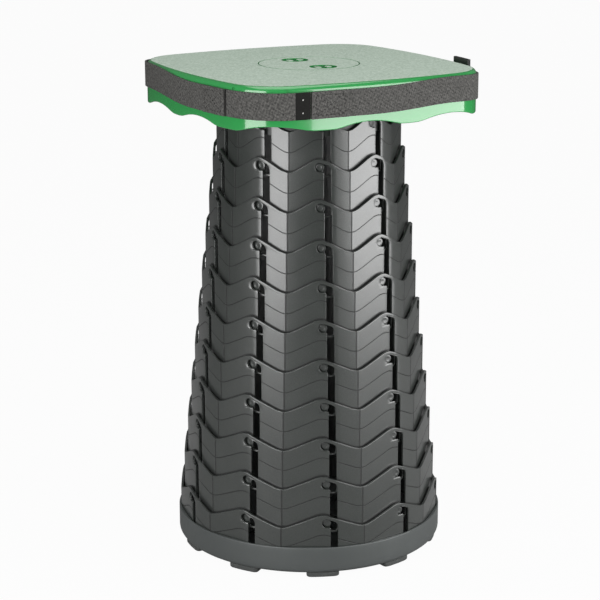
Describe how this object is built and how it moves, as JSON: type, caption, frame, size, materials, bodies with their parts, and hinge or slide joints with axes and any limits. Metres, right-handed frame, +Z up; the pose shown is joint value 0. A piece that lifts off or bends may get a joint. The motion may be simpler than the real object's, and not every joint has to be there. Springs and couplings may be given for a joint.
{
  "type": "collapsible telescopic stool",
  "caption": "Round-bodied stool of nested plastic rings that telescope down to a flat puck, with a soft-cornered square seat and a carry strap round it.",
  "frame": {"origin": "on the floor under the middle of the round base, with the stool at its full height", "axes": "+Z up along the column; +X and +Y square to two sides of the seat, with a slot of every ring on +X"},
  "size_m": [0.2614, 0.2598, 0.4546],
  "materials": {
    "ring_plastic": "charcoal moulded plastic, satin",
    "base_plastic": "charcoal moulded plastic, satin",
    "foot_rubber": "matt rubber",
    "seat_plastic": "green moulded plastic, gloss edges and a fine matt grain on top",
    "plug_plastic": "green moulded plastic, gloss",
    "screw_steel": "zinc-plated",
    "strap_webbing": "ribbed black-grey webbing",
    "slider_plastic": "black moulded plastic"
  },
  "bodies": {
    "base": {"base_tray": "base_plastic", "base_feet": "foot_rubber", "ring_01": "ring_plastic"},
    "ring_02": {"ring_02": "ring_plastic"},
    "ring_03": {"ring_03": "ring_plastic"},
    "ring_04": {"ring_04": "ring_plastic"},
    "ring_05": {"ring_05": "ring_plastic"},
    "ring_06": {"ring_06": "ring_plastic"},
    "ring_07": {"ring_07": "ring_plastic"},
    "ring_08": {"ring_08": "ring_plastic"},
    "ring_09": {"ring_09": "ring_plastic"},
    "ring_10": {"ring_10": "ring_plastic"},
    "ring_11": {"ring_11": "ring_plastic"},
    "seat": {"ring_12": "ring_plastic", "seat_shell": "seat_plastic", "seat_cap": "seat_plastic", "cap_plugs": "plug_plastic", "seat_screws": "screw_steel", "strap_long": "strap_webbing", "strap_short": "strap_webbing", "strap_slider": "slider_plastic"}
  },
  "joints": [
    {"name": "ring_02_slide", "type": "slide", "parent": "base", "child": "ring_02", "axis": [0, 0, -1], "range_m": [0, 0.0355]},
    {"name": "ring_03_slide", "type": "slide", "parent": "ring_02", "child": "ring_03", "axis": [0, 0, -1], "range_m": [0, 0.0355]},
    {"name": "ring_04_slide", "type": "slide", "parent": "ring_03", "child": "ring_04", "axis": [0, 0, -1], "range_m": [0, 0.0355]},
    {"name": "ring_05_slide", "type": "slide", "parent": "ring_04", "child": "ring_05", "axis": [0, 0, -1], "range_m": [0, 0.0355]},
    {"name": "ring_06_slide", "type": "slide", "parent": "ring_05", "child": "ring_06", "axis": [0, 0, -1], "range_m": [0, 0.0355]},
    {"name": "ring_07_slide", "type": "slide", "parent": "ring_06", "child": "ring_07", "axis": [0, 0, -1], "range_m": [0, 0.0355]},
    {"name": "ring_08_slide", "type": "slide", "parent": "ring_07", "child": "ring_08", "axis": [0, 0, -1], "range_m": [0, 0.0355]},
    {"name": "ring_09_slide", "type": "slide", "parent": "ring_08", "child": "ring_09", "axis": [0, 0, -1], "range_m": [0, 0.0355]},
    {"name": "ring_10_slide", "type": "slide", "parent": "ring_09", "child": "ring_10", "axis": [0, 0, -1], "range_m": [0, 0.0355]},
    {"name": "ring_11_slide", "type": "slide", "parent": "ring_10", "child": "ring_11", "axis": [0, 0, -1], "range_m": [0, 0.0355]},
    {"name": "seat_slide", "type": "slide", "parent": "ring_11", "child": "seat", "axis": [0, 0, -1], "range_m": [0, 0.0333]}
  ]
}
